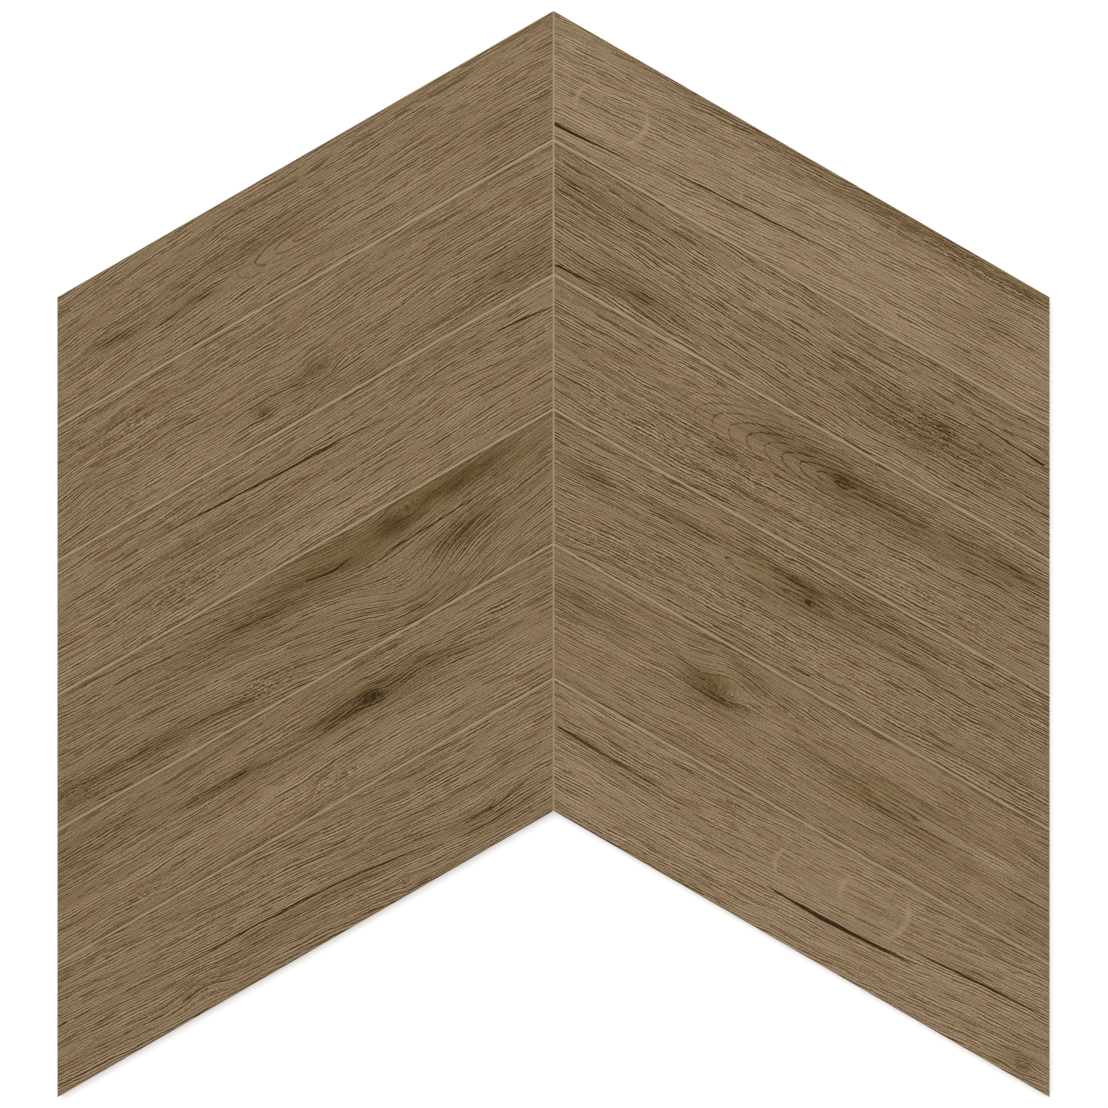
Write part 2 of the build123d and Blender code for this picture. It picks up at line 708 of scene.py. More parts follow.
@dataclass(frozen=True)
class ChevronLayout:
    """Where the planks and false joints lie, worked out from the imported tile's box, in metres."""

    half_width: float
    half_length: float
    thickness: float
    slope: float = math.radians(30.0)
    planks_per_side: int = 6
    point_plank_width: float = 66.5 * MM
    joint_width: float = 2.0 * MM
    centre_joint_width: float = 1.2 * MM
    joint_depth: float = 0.5 * MM
    arris: float = 0.6 * MM

    @classmethod
    def from_frame(cls) -> "ChevronLayout":
        """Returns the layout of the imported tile."""
        _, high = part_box(NODE)
        return cls(high.x, high.y, high.z)

    @property
    def field(self) -> float:
        """Returns the width of all the planks of one side, square to them."""
        return (2.0 * self.half_length - self.half_width * math.tan(self.slope)) * math.cos(self.slope)

    @property
    def pitch(self) -> float:
        """Returns the distance from one joint's middle to the next one's."""
        return (self.field - self.point_plank_width) / (self.planks_per_side - 1)

    @property
    def plank_width(self) -> float:
        """Returns the width of one plank, other than those at the point."""
        return self.pitch - self.joint_width

    def width_of(self, place: Number) -> Length:
        """Returns a plank's width: those at the point are trimmed by the tile's edge."""
        return np.where(np.equal(place, 0), self.point_plank_width, self.plank_width)

    def top_of(self, place: Number) -> Length:
        """Returns how far a plank's upper edge lies below the tile's, square to the planks."""
        below = place * self.pitch - self.plank_width + self.point_plank_width
        return np.where(np.equal(place, 0), 0.0, below)

    def corner_y(self, place: Number) -> Length:
        """Returns where a plank's upper edge meets the middle line."""
        return self.half_length - self.top_of(place) / math.cos(self.slope)

    def from_top_edge(self, x: Array, y: Array) -> Array:
        """Returns the distance from the tile's upper sloping edge, square to the planks."""
        return (self.half_length - y) * math.cos(self.slope) - np.abs(x) * math.sin(self.slope)

    def plank_coordinates(self, x: Array, y: Array) -> tuple[Array, Array, Array]:
        """Turns places on the tile into places on its planks.

        Args:
            x: Distances across the tile.
            y: Distances towards its point.

        Returns:
            Each place's plank, counted from the point, and its distances along and across that plank.
        """
        down = self.from_top_edge(x, y)
        first_joint = self.point_plank_width + self.joint_width / 2.0
        place = np.clip(np.floor((down - first_joint) / self.pitch) + 1, 0, self.planks_per_side - 1)
        across = down - self.top_of(place)
        along = np.abs(x) * math.cos(self.slope) + (self.corner_y(place) - y) * math.sin(self.slope)
        return place.astype(int), along, across

    def run(self, side: Side) -> Vector:
        """Returns the direction of the grain, outward from the middle line."""
        return Vector((side.value * math.cos(self.slope), -math.sin(self.slope), 0.0))

    def spot(self, side: Side, place: int, along: float, across: float) -> Vector:
        """Finds a point of the face from its place on a plank.

        Args:
            side: The plank's half of the tile.
            place: The plank, counted from the point.
            along: The distance along it, in metres.
            across: The distance across it, in metres.

        Returns:
            The point.
        """
        x = along * math.cos(self.slope) - across * math.sin(self.slope)
        y = self.corner_y(place) - along * math.sin(self.slope) - across * math.cos(self.slope)
        return Vector((side.value * x, y, self.thickness))


@dataclass(frozen=True)
class TileBody:
    """The one fired body: the face with its hollows, the sides and the keyed back."""

    layout: ChevronLayout
    column_step: float = 3.0 * MM
    rows_per_plank: int = 48
    hollow_rows: int = 6
    key_pitch: float = 20.0 * MM
    key_width: float = 8.0 * MM
    key_depth: float = 0.6 * MM
    sharp_angle: float = math.radians(32.0)
    flat_angle: float = math.radians(1.0)
    weld: float = 0.001 * MM
    cut_slack: float = 0.0001 * MM
    level_slack: float = 0.01 * MM
    ring_relief: float = 0.05 * MM
    ring_spacing: float = 6.5
    crack_relief: float = 0.25 * MM

    def build(self) -> bpy.types.Object:
        """Builds the body as one closed mesh.

        Returns:
            The tile's object, at the origin.
        """
        shape = bmesh.new()
        self._face_sheet(shape)
        ring = self._wall(shape)
        low = self._back(shape, ring)
        self._channels(shape, low)
        bmesh.ops.remove_doubles(shape, verts=shape.verts[:], dist=self.weld)
        bmesh.ops.recalc_face_normals(shape, faces=shape.faces[:])
        self._put_in_order(shape)
        self._mark_edges(shape)
        return place_mesh("chevron_tile_body", shape)

    def _columns(self) -> list[float]:
        """Spaces the lines of vertices that run down the face.

        Returns:
            Their distances from the middle line.
        """
        joint = self.layout.centre_joint_width / 2.0
        edge = self.layout.half_width - self.layout.arris
        steps = round((edge - joint) / self.column_step)
        hollow = np.linspace(0.0, joint, self.hollow_rows // 2 + 1)[:-1]
        return [*hollow, *np.linspace(joint, edge, steps + 1), self.layout.half_width]

    def _rows(self) -> list[float]:
        """Spaces the lines of vertices that run with the planks.

        Returns:
            Their distances from the upper sloping edge.
        """
        plan = self.layout
        rows = [0.0]
        for place in range(plan.planks_per_side):
            top = float(plan.top_of(place))
            start = top + (plan.arris if place == 0 else 0.0)
            last = place == plan.planks_per_side - 1
            end = top + float(plan.width_of(place)) - (plan.arris if last else 0.0)
            rows.extend(np.linspace(start, end, self.rows_per_plank + 1))
            if not last:
                rows.extend(np.linspace(end, end + plan.joint_width, self.hollow_rows + 1)[1:-1])
        return [*rows, plan.field]

    def _hollow(self, offset: float, width: float) -> float:
        """Gives the depth of a round hollow.

        Args:
            offset: The distance from the hollow's middle.
            width: The hollow's width.

        Returns:
            The depth there, which is 0 outside the hollow.
        """
        half = width / 2.0
        if abs(offset) >= half:
            return 0.0
        radius = (half**2 + self.layout.joint_depth**2) / (2.0 * self.layout.joint_depth)
        return math.sqrt(radius**2 - offset**2) - (radius - self.layout.joint_depth)

    def _face_height(self, x: float, down: float) -> float:
        """Gives the height of the face.

        Args:
            x: The distance from the middle line.
            down: The distance from the upper sloping edge.

        Returns:
            The height above the bed.
        """
        plan = self.layout
        to_edge = min(plan.half_width - x, down, plan.field - down)
        bevel = max(0.0, plan.arris - to_edge)
        past_first = down - plan.point_plank_width - plan.joint_width / 2.0
        number = min(max(round(past_first / plan.pitch), 0), plan.planks_per_side - 2)
        joint = self._hollow(past_first - number * plan.pitch, plan.joint_width)
        centre = self._hollow(x, plan.centre_joint_width)
        return plan.thickness - max(bevel, joint, centre)

    def _face_sheet(self, shape: Shape) -> None:
        """Lays the printed face: a grid sheared to the planks of one side, and its mirror image.

        Args:
            shape: The mesh, still empty.
        """
        plan = self.layout
        columns = self._columns()
        rows = self._rows()
        bmesh.ops.create_grid(shape, x_segments=len(columns) - 1, y_segments=len(rows) - 1, size=1.0)
        for corner in shape.verts:
            x = columns[round((corner.co.x + 1.0) / 2.0 * (len(columns) - 1))]
            down = rows[round((1.0 - corner.co.y) / 2.0 * (len(rows) - 1))]
            y = plan.half_length - x * math.tan(plan.slope) - down / math.cos(plan.slope)
            corner.co = (x, y, self._face_height(x, down))
        half = shape.verts[:] + shape.edges[:] + shape.faces[:]
        bmesh.ops.mirror(shape, geom=half, axis="X", merge_dist=self.weld)

    def _wall(self, shape: Shape) -> list[bmesh.types.BMEdge]:
        """Drops the sides from the face's rim to the top of the keying channels.

        Args:
            shape: The mesh, holding the face.

        Returns:
            The edges round the bottom of the sides.
        """
        rim = [edge for edge in shape.edges if edge.is_boundary]
        drop = bmesh.ops.extrude_edge_only(shape, edges=rim)["geom"]
        low = of_kind(drop, bmesh.types.BMVert)
        for vert in low:
            vert.co.z = self.key_depth
        shape.normal_update()
        above = 2.0 * self.key_depth
        upright = [edge for vert in low for edge in vert.link_edges if edge.other_vert(vert).co.z > above]
        bmesh.ops.dissolve_limit(shape, angle_limit=self.flat_angle, verts=low, edges=upright)
        return [edge for edge in shape.edges if edge.is_boundary]

    def _back(self, shape: Shape, ring: list[bmesh.types.BMEdge]) -> list:
        """Drops the sides to the bed and closes the back.

        Args:
            shape: The mesh, holding the face and the sides.
            ring: The edges round the bottom of the sides.

        Returns:
            The faces, edges and corners of the back and of the band round it.
        """
        foot = bmesh.ops.extrude_edge_only(shape, edges=ring)["geom"]
        corners = of_kind(foot, bmesh.types.BMVert)
        for corner in corners:
            corner.co.z = 0.0
        band = list(dict.fromkeys(face for corner in corners for face in corner.link_faces))
        outline = [edge for edge in of_kind(foot, bmesh.types.BMEdge) if edge.is_boundary]
        bottom = bmesh.ops.contextual_create(shape, geom=outline)["faces"]
        sides = list(dict.fromkeys(edge for face in band for edge in face.edges))
        return band + bottom + sides + list(dict.fromkeys(vert for face in band for vert in face.verts))

    def _channels(self, shape: Shape, low: list) -> None:
        """Sinks the keying channels into the back, open at both ends.

        Args:
            shape: The closed mesh.
            low: The faces, edges and corners of the back and of the band round it.
        """
        channels = int((self.layout.half_width - self.key_width) / self.key_pitch)
        middles = [(number + 0.5 - channels) * self.key_pitch for number in range(2 * channels)]
        for middle in middles:
            for wall in (middle - self.key_width / 2.0, middle + self.key_width / 2.0):
                cut = bmesh.ops.bisect_plane(
                    shape, geom=low, dist=self.cut_slack, plane_co=(wall, 0.0, 0.0), plane_no=(1.0, 0.0, 0.0)
                )
                low = cut["geom"]
        faces = [face for face in of_kind(low, bmesh.types.BMFace) if self._in_channel(face, middles)]
        floors = [face for face in faces if face.calc_center_median().z < self.level_slack]
        ends = [face for face in faces if face not in set(floors)]
        sunk = bmesh.ops.extrude_face_region(shape, geom=floors)["geom"]
        moved = of_kind(sunk, bmesh.types.BMVert)
        bmesh.ops.translate(shape, verts=moved, vec=(0.0, 0.0, self.key_depth))
        across = [face for vert in moved for face in vert.link_faces if self._closes_channel(face, middles)]
        bmesh.ops.delete(shape, geom=list(dict.fromkeys(ends + across + floors)), context="FACES")

    def _in_channel(self, face: bmesh.types.BMFace, middles: list[float]) -> bool:
        """Tells whether a face lies within the width of a keying channel."""
        x = face.calc_center_median().x
        return any(abs(x - middle) < self.key_width / 4.0 for middle in middles)

    def _closes_channel(self, face: bmesh.types.BMFace, middles: list[float]) -> bool:
        """Tells whether a face stands across the end of a keying channel."""
        upright = 0.1 < face.calc_center_median().z / self.key_depth < 0.9
        return upright and self._in_channel(face, middles)

    def _put_in_order(self, shape: Shape) -> None:
        """Sorts the mesh's parts by where they lie, so that every run gives the same mesh.

        Args:
            shape: The closed mesh, whose sides and back come from extrusions in no set order.
        """
        for rank, vert in enumerate(sorted(shape.verts, key=lambda vert: tuple(vert.co))):
            vert.index = rank
        middle = self.layout.thickness / 2.0
        for face in [face for face in shape.faces if any(vert.co.z < middle for vert in face.verts)]:
            corners = list(face.verts)
            first = corners.index(min(corners, key=lambda vert: vert.index))
            shape.faces.remove(face)
            shape.faces.new(corners[first:] + corners[:first]).normal_update()
        shape.verts.sort()
        for parts in (shape.edges, shape.faces):
            ranked = sorted(parts, key=lambda part: sorted(vert.index for vert in part.verts))
            for rank, part in enumerate(ranked):
                part.index = rank
            parts.sort()

    def _mark_edges(self, shape: Shape) -> None:
        """Shades the faces smoothly, but keeps the edges between steep neighbours crisp.

        Args:
            shape: The closed mesh.
        """
        for face in shape.faces:
            face.smooth = True
        for edge in shape.edges:
            edge.smooth = not (edge.is_manifold and edge.calc_face_angle() > self.sharp_angle)


@dataclass(frozen=True)
class WoodPrint:
    """The printed wood: its fields on the mesh, its slight relief and the places of its knots."""

    layout: ChevronLayout
    body: TileBody
    planks: tuple[Plank, ...]
    # how much darker each plank is along its edges, next to the joints and the tile's rim
    rim_darkening: float = 0.22
    rim_reach: float = 1.5 * MM

    def lay_on(self, tile: bpy.types.Object) -> None:
        """Writes the print's fields and relief to the tile's mesh.

        Args:
            tile: The tile's object.
        """
        mesh = tile.data
        points = read_vectors(mesh.vertices, "co")
        place, along, across = self.layout.plank_coordinates(points[:, 0], points[:, 1])
        right = points[:, 0] > 0.0
        written = {name: np.zeros_like(points) for name in Plank.FIELDS}
        for plank in self.planks:
            own = (place == plank.place) & (right == (plank.side is Side.RIGHT))
            fields = plank.fields(Places(along[own] / MM, across[own] / MM))
            for name, values in written.items():
                values[own] = fields[name]
        to_rim = np.clip(np.minimum(across, self.layout.width_of(place) - across), 0.0, None)
        # each plank is made darker along its edges
        written["tint"][:, 0] += self.rim_darkening * np.exp(-((to_rim / self.rim_reach) ** 2))
        points[:, 2] -= self._relief(points, place, across, written["grain"][:, 1], written["crack"])
        mesh.vertices.foreach_set("co", points.ravel())
        for name, values in written.items():
            layer = mesh.attributes.new(name, "FLOAT_VECTOR", "POINT")
            layer.data.foreach_set("vector", values.ravel())
        mesh.update()

    def _relief(self, points: Array, place: Array, across: Array, ring: Array, crack: Array) -> Array:
        """Gives how far the face is sunk by the rings and the cracks.

        Args:
            points: The mesh's vertices.
            place: Each vertex's plank, counted from the point.
            across: Distances across the planks.
            ring: Ring coordinates.
            crack: Offsets, half widths and strengths of the nearest cracks.

        Returns:
            The drop at each vertex.
        """
        plan = self.layout
        margin = 2.0 * plan.arris
        inside = (across > margin) & (across < plan.width_of(place) - margin)
        from_middle = np.abs(points[:, 0])
        to_side = np.minimum(from_middle - plan.centre_joint_width, plan.half_width - from_middle)
        face = inside & (to_side > margin) & (points[:, 2] > plan.thickness / 2.0)
        waves = self.body.ring_relief * (0.5 + 0.5 * np.sin(2.0 * np.pi * ring / self.body.ring_spacing))
        split = self.body.crack_relief * np.exp(-(crack[:, 0] ** 2)) * np.clip(crack[:, 1], 0.0, 1.0)
        return np.where(face, waves + split, 0.0)

    def knots(self) -> list[tuple[Vector, Vector, Eye]]:
        """Places the knots on the tile.

        Returns:
            Each knot's place, the direction of its grain and the knot itself.
        """
        plan = self.layout
        return [
            (plan.spot(plank.side, plank.place, eye.along * MM, eye.across * MM), plan.run(plank.side), eye)
            for plank in self.planks
            for eye in plank.eyes
        ]


# Shader building

@dataclass(frozen=True)
class GrainNoise:
    """Soft noise drawn out along the grain: its sizes in millimetres, its finer layers and its swing."""

    length: Feed
    width: Feed
    detail: float
    swing: Feed = 0.0


@dataclass(frozen=True)
class LineLayer:
    """One layer of pores: their length, spacing and half width, and the noise level at which they start."""

    length: float
    spacing: float
    half_width: float
    cover: float


class NodeDesk:
    """Adds and wires the nodes of one shader tree."""

    def __init__(self, tree: Tree) -> None:
        """Keeps the tree that the nodes go into."""
        self.tree = tree

    def node(self, kind: str, **settings: object) -> bpy.types.Node:
        """Adds a node and sets its properties.

        Args:
            kind: Blender's name of the node type.
            settings: Properties of the node.

        Returns:
            The node.
        """
        made = self.tree.nodes.new(kind)
        for name, value in settings.items():
            setattr(made, name, value)
        return made

    def feed(self, socket: Socket, value: object) -> None:
        """Links a socket to another one, or sets it to a plain value.

        Args:
            socket: The input to feed.
            value: An output, or a plain value.
        """
        if isinstance(value, Socket):
            self.tree.links.new(value, socket)
        else:
            socket.default_value = value

    def wire(self, node: bpy.types.Node, **values: object) -> bpy.types.Node:
        """Feeds a node's inputs by name.

        Args:
            node: The node.
            values: What each input gets, with underscores in its name for spaces.

        Returns:
            The same node.
        """
        for name, value in values.items():
            self.feed(node.inputs[name.replace("_", " ")], value)
        return node

    def fill(self, node: bpy.types.Node, *values: object) -> Socket:
        """Feeds a node's inputs in order.

        Args:
            node: The node.
            values: What its first inputs get.

        Returns:
            The node's first output.
        """
        for socket, value in zip(node.inputs, values):
            self.feed(socket, value)
        return node.outputs[0]

    def math(self, operation: str, *values: Feed) -> Socket:
        """Returns the result of a Math node on the given values."""
        return self.fill(self.node("ShaderNodeMath", operation=operation), *values)

    def add(self, *values: Feed) -> Socket:
        """Returns the sum of all the values."""
        return self._chain("ADD", values)

    def times(self, *values: Feed) -> Socket:
        """Returns the product of all the values."""
        return self._chain("MULTIPLY", values)

    def _chain(self, operation: str, values: tuple[Feed, ...]) -> Socket:
        """Works through values with Math nodes, one after the other.

        Args:
            operation: What each node does.
            values: Two values or more, or one that is passed on.

        Returns:
            The last node's result.
        """
        result = values[0]
        for value in values[1:]:
            result = self.math(operation, result, value)
        return result

    def vector_math(self, operation: str, *values: object) -> bpy.types.Node:
        """Adds a Vector Math node on the given values.

        Args:
            operation: What the node does.
            values: What its first inputs get.

        Returns:
            The node, whose output depends on the operation.
        """
        made = self.node("ShaderNodeVectorMath", operation=operation)
        self.fill(made, *values)
        return made

    def field(self, name: str) -> tuple[Socket, ...]:
        """Returns the three values of a field that the mesh carries."""
        return self.split(self.node("ShaderNodeAttribute", attribute_name=name).outputs["Vector"])

    def split(self, vector: Socket) -> tuple[Socket, ...]:
        """Splits a vector.

        Args:
            vector: The vector.

        Returns:
            Its three values.
        """
        made = self.node("ShaderNodeSeparateXYZ")
        self.fill(made, vector)
        return tuple(made.outputs)

    def noise(self, vector: Socket, scale: float, detail: float) -> Socket:
        """Returns soft noise from 0 to 1 over a vector."""
        made = self.node("ShaderNodeTexNoise")
        return self.wire(made, Vector=vector, Scale=scale, Detail=detail).outputs["Fac"]

    def streaks(self, along: Feed, level: Feed, noise: GrainNoise) -> Socket:
        """Makes soft noise that is drawn out along the grain.

        Args:
            along: Distances along the grain.
            level: Distances across it.
            noise: The noise's sizes.

        Returns:
            The noise, from 0 to 1.
        """
        run = self.math("DIVIDE", along, noise.length)
        off = self.math("DIVIDE", level, noise.width)
        place = self.fill(self.node("ShaderNodeCombineXYZ"), run, off, 0.0)
        made = self.node("ShaderNodeTexNoise", noise_dimensions="2D")
        return self.wire(made, Vector=place, Scale=1.0, Detail=noise.detail).outputs["Fac"]

    def sway(self, along: Feed, level: Feed, noise: GrainNoise) -> Socket:
        """Returns such noise centred on zero, with its own swing."""
        return self.swing(self.streaks(along, level, noise), noise.swing)

    def swing(self, noise: Socket, size: Feed) -> Socket:
        """Returns noise centred on zero, times a size."""
        return self.math("MULTIPLY", self.math("SUBTRACT", noise, 0.5), size)

    def ramp(self, value: Feed, low: Feed, high: Feed) -> Socket:
        """Returns a smooth rise from 0 at low to 1 at high."""
        made = self.node("ShaderNodeMapRange", interpolation_type="SMOOTHSTEP")
        return self.wire(made, Value=value, From_Min=low, From_Max=high).outputs["Result"]

    def colours(self, value: Feed, stops: ShadeStops) -> Socket:
        """Picks a colour between shades.

        Args:
            value: What picks it.
            stops: The shades, each at its value.

        Returns:
            The colour.
        """
        made = self.node("ShaderNodeValToRGB")
        band = made.color_ramp
        while len(band.elements) < len(stops):
            band.elements.new(1.0)
        for element, (position, shade) in zip(band.elements, stops):
            element.position = position
            element.color = shade.linear()
        return self.wire(made, Fac=value).outputs["Color"]

    def blend(self, share: Feed, first: object, second: object) -> Socket:
        """Returns a colour between two, by a share."""
        made = self.node("ShaderNodeMix", data_type="RGBA")
        return self.wire(made, Factor=share, A=first, B=second).outputs["Result"]

    def bump(self, height: Feed, strength: float, distance: float) -> Socket:
        """Returns the normal of a surface pressed by a height."""
        made = self.node("ShaderNodeBump")
        return self.wire(made, Strength=strength, Distance=distance, Height=height).outputs["Normal"]

    def group(self, tree: Tree, **values: object) -> bpy.types.Node:
        """Returns a placed node group, its inputs fed by name."""
        return self.wire(self.node("ShaderNodeGroup", node_tree=tree), **values)


def new_material(name: str) -> tuple[bpy.types.Material, NodeDesk, bpy.types.Node]:
    """Starts a material.

    Args:
        name: The material's name.

    Returns:
        The material, the desk for its nodes and its shader.
    """
    made = bpy.data.materials.new(name)
    made.use_nodes = True
    return made, NodeDesk(made.node_tree), made.node_tree.nodes["Principled BSDF"]


@dataclass(frozen=True)
class Effects:
    """Node groups that several places of the finishes use."""

    lines: Tree
    mark: Tree
    knot: Tree
    speckle: Tree

    @classmethod
    def make(cls) -> "Effects":
        """Returns the groups, each built once."""
        return cls(cls._lines(), cls._mark(), cls._knot(), cls._speckle())

    @staticmethod
    def _shell(
        name: str, inputs: dict[str, str], outputs: tuple[str, ...] = ("Mask",)
    ) -> tuple[NodeDesk, dict[str, Socket], list[Socket]]:
        """Starts a group with named sockets.

        Args:
            name: The group's name.
            inputs: Each input's name and socket kind.
            outputs: The names of the masks that it puts out.

        Returns:
            The desk to build on, the inputs by name and the sockets that take the results.
        """
        tree = bpy.data.node_groups.new(name, "ShaderNodeTree")
        for label, kind in inputs.items():
            tree.interface.new_socket(label, in_out="INPUT", socket_type=f"NodeSocket{kind}")
        for label in outputs:
            tree.interface.new_socket(label, in_out="OUTPUT", socket_type="NodeSocketFloat")
        desk = NodeDesk(tree)
        entry = desk.node("NodeGroupInput")
        result = desk.node("NodeGroupOutput")
        given = {label: entry.outputs[label] for label in inputs}
        return desk, given, [result.inputs[label] for label in outputs]

    @classmethod
    def _lines(cls) -> Tree:
        """Draws thin tapering lines along the grain, one to a row, with a painted highlight along both edges
        of each.

        Each row of the ring coordinate holds one line. Chance sets where in the row it runs, and a noise
        along it sets where it lives and where it breaks off.

        Returns:
            The group.
        """
        wander = 0.4         # the share of a row in which a line's middle may lie
        least_slope = 0.3
        row_shift = 900.0    # millimetres, the most by which chance shifts a row's noise
        row_step = 3.7       # from one row's noise to the next one's
        fade = 0.16          # the rise of noise over which a line comes to life
        thinnest = 0.45      # the share of its half width that a line's ends keep
        core_edge, core_full = 1.9, 0.2
        # where the painted highlight along a line's edges rises, is full and fades, in shares of its half
        # width
        highlight_full, highlight_fall, highlight_end = 2.2, 2.4, 4.2
        labels = ("Along", "Ring", "Steep", "Length", "Spacing", "Half Width", "Cover")
        desk, given, results = cls._shell("grain_lines", dict.fromkeys(labels, "Float"), ("Core", "Painted Highlight"))
        level = desk.math("DIVIDE", given["Ring"], given["Spacing"])
        row = desk.math("FLOOR", level)
        chance = desk.wire(desk.node("ShaderNodeTexWhiteNoise", noise_dimensions="1D"), W=row)
        aside, start, _ = desk.split(chance.outputs["Color"])
        middle = desk.add(0.5, desk.swing(aside, wander))
        offset = desk.math("SUBTRACT", desk.math("SUBTRACT", level, row), middle)
        square = desk.math("DIVIDE", given["Spacing"], desk.math("MAXIMUM", given["Steep"], least_slope))
        distance = desk.times(desk.math("ABSOLUTE", offset), square)
        run = desk.add(given["Along"], desk.times(start, row_shift))
        presence = desk.streaks(run, desk.times(row, row_step), GrainNoise(given["Length"], 1.0, 1.0))
        life = desk.ramp(presence, given["Cover"], desk.add(given["Cover"], fade))
        half = desk.times(given["Half Width"], desk.add(thinnest, desk.times(life, 1.0 - thinnest)))
        core = desk.ramp(distance, desk.times(half, core_edge), desk.times(half, core_full))
        highlight_mask = desk.times(
            desk.ramp(distance, half, desk.times(half, highlight_full)),
            desk.ramp(distance, desk.times(half, highlight_end), desk.times(half, highlight_fall)),
        )
        desk.feed(results[0], desk.times(core, life))
        desk.feed(results[1], desk.times(highlight_mask, life))
        return desk.tree

    @classmethod
    def _mark(cls) -> Tree:
        """Draws a mark: 1 within its half width, with a slightly ragged edge.

        Returns:
            The group.
        """
        labels = ("Offset", "Half Width", "Ragged", "Soft")
        desk, given, results = cls._shell("drawn_mark", dict.fromkeys(labels, "Float"))
        distance = desk.math("ABSOLUTE", desk.add(given["Offset"], given["Ragged"]))
        inside = desk.math("SUBTRACT", given["Half Width"], distance)
        desk.feed(results[0], desk.ramp(inside, desk.times(given["Soft"], -1.0), given["Soft"]))
        return desk.tree

    @classmethod
    def _knot(cls) -> Tree:
        """Draws a knot's eye: a ragged dark core and a faint rim.

        Returns:
            The group.
        """
        squeeze = 0.5        # takes off the length along the grain, so that the eye is drawn out
        ragged_scale, ragged_swing = 500.0, 1.6
        core_range, rim_rise, rim_fall = (0.75, 0.2), (0.7, 1.0), (1.4, 1.1)
        rim_share = 0.35
        kinds = {"Centre": "Vector", "Grain Run": "Vector", "Radius": "Float"}
        desk, given, results = cls._shell("knot_eye", kinds)
        place = desk.node("ShaderNodeTexCoord").outputs["Object"]
        away = desk.vector_math("SUBTRACT", place, given["Centre"]).outputs[0]
        length = desk.vector_math("LENGTH", away).outputs["Value"]
        along = desk.vector_math("DOT_PRODUCT", away, given["Grain Run"]).outputs["Value"]
        run = desk.math("POWER", along, 2.0)
        square = desk.math("SUBTRACT", desk.math("POWER", length, 2.0), desk.times(run, squeeze))
        ragged = desk.swing(desk.noise(place, ragged_scale, 2.0), ragged_swing)
        share = desk.add(desk.math("DIVIDE", desk.math("SQRT", square), given["Radius"]), ragged)
        core = desk.ramp(share, *core_range)
        rim = desk.times(desk.ramp(share, *rim_rise), desk.ramp(share, *rim_fall))
        desk.feed(results[0], desk.add(core, desk.times(rim, rim_share)))
        return desk.tree

    @classmethod
    def _speckle(cls) -> Tree:
        """Draws the fine grains of a fired surface, from 0 to 1.

        Returns:
            The group.
        """
        desk, given, results = cls._shell("fired_speckle", {"Size": "Float"})
        place = desk.node("ShaderNodeTexCoord").outputs["Object"]
        scaled = desk.vector_math("SCALE", place)
        desk.wire(scaled, Scale=desk.math("DIVIDE", 1.0, given["Size"]))
        desk.feed(results[0], desk.noise(scaled.outputs[0], 1.0, 3.0))
        return desk.tree


# Finishes

